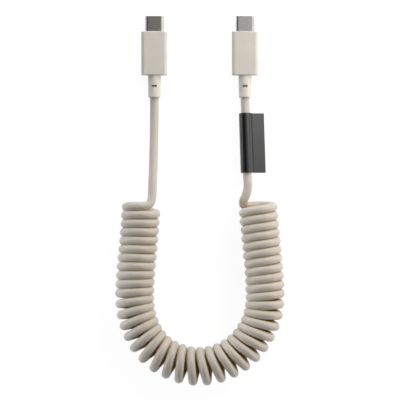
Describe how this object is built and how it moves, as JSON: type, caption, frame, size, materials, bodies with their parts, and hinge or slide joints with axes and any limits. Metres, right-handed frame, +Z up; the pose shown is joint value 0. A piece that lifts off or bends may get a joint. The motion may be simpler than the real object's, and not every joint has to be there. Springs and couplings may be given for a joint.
{
  "type": "curly usb-c cable",
  "caption": "Curly charging cable bent into a U, with a flat reversible plug on each end and a small flag tag that slides on one lead.",
  "frame": {"origin": "on the surface that the cable lies on, below the centre of the box round the two plugs", "axes": "+X from the first plug to the second, +Y along the plugs towards their tips, +Z up"},
  "size_m": [0.0734, 0.161, 0.0166],
  "materials": {
    "cord_jacket": "matt sand elastomer",
    "grip": "satin sand plastic",
    "strain_relief": "matt sand elastomer",
    "plug_steel": "satin stainless steel",
    "spring_steel": "bright rolled spring steel",
    "shield": "tin-plated sheet",
    "contacts": "gold-plated",
    "insulator": "black moulded plastic",
    "circuit_card": "green solder mask",
    "marker_chip": "black moulded chip",
    "conductors": "coloured insulation",
    "tag": "dark satin plastic"
  },
  "bodies": {
    "cable": {"plug_a_shell": "plug_steel", "plug_a_insulator": "insulator", "plug_a_contacts_upper": "contacts", "plug_a_contacts_lower": "contacts", "plug_a_latch": "spring_steel", "plug_a_ground_spring_upper": "spring_steel", "plug_a_ground_spring_lower": "spring_steel", "plug_a_paddle_card": "circuit_card", "plug_a_shield_can": "shield", "plug_a_conductors": "conductors", "plug_a_cord_end": "cord_jacket", "plug_a_grip": "grip", "plug_a_strain_relief": "strain_relief", "plug_b_shell": "plug_steel", "plug_b_insulator": "insulator", "plug_b_contacts_upper": "contacts", "plug_b_contacts_lower": "contacts", "plug_b_latch": "spring_steel", "plug_b_ground_spring_upper": "spring_steel", "plug_b_ground_spring_lower": "spring_steel", "plug_b_paddle_card": "circuit_card", "plug_b_shield_can": "shield", "plug_b_conductors": "conductors", "plug_b_cord_end": "cord_jacket", "plug_b_grip": "grip", "plug_b_strain_relief": "strain_relief", "plug_a_marker_chip": "marker_chip", "lead_a": "cord_jacket", "coil": "cord_jacket", "lead_b": "cord_jacket"},
    "tag": {"tag": "tag"}
  },
  "joints": [
    {"name": "tag_slide", "type": "slide", "parent": "cable", "child": "tag", "axis": [-0.0296, 0.9959, -0.0859], "range_m": [0, 0.005]}
  ]
}
